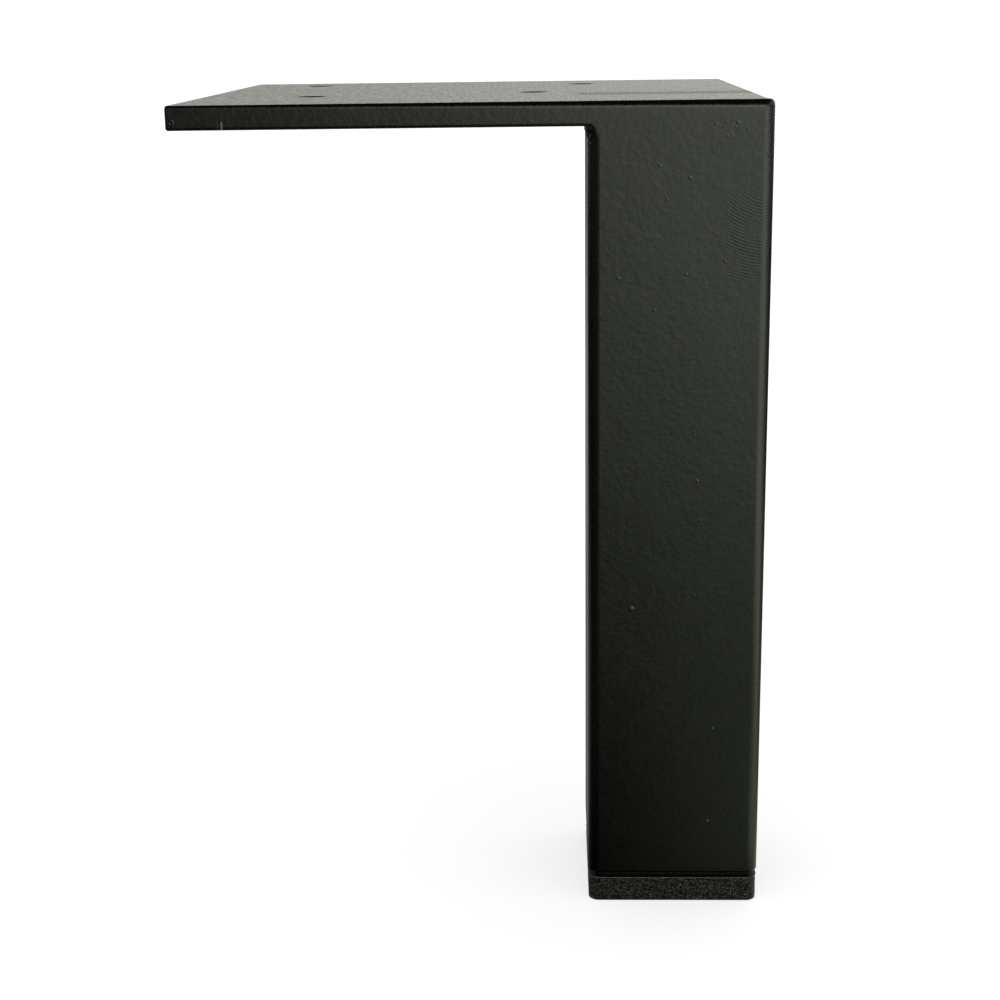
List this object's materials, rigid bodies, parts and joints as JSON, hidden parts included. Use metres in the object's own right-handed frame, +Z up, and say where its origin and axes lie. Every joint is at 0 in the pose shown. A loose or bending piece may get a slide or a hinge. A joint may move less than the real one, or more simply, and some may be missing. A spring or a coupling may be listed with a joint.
{
  "type": "square furniture leg with mounting plate",
  "caption": "Square steel furniture leg in satin black powder coat: flat screw-on plate, square tube welded flush under one corner, black plastic foot.",
  "frame": {"origin": "centre of the plate's top face, which is the face that meets the furniture", "axes": "+Z up, out of the plate's top face; the tube runs down, along -Z, under the corner at +X and -Y, with its outer faces flush with the plate's +X and -Y edges"},
  "size_m": [0.098, 0.098, 0.14],
  "materials": {
    "satin_black_coat": "satin black powder coat on steel, slight orange peel",
    "black_foot_plastic": "moulded black plastic with a coarse stipple"
  },
  "bodies": {
    "root": {"mounting_plate": "satin_black_coat", "square_tube": "satin_black_coat", "fillet_weld": "satin_black_coat", "foot_insert": "black_foot_plastic"}
  },
  "joints": []
}
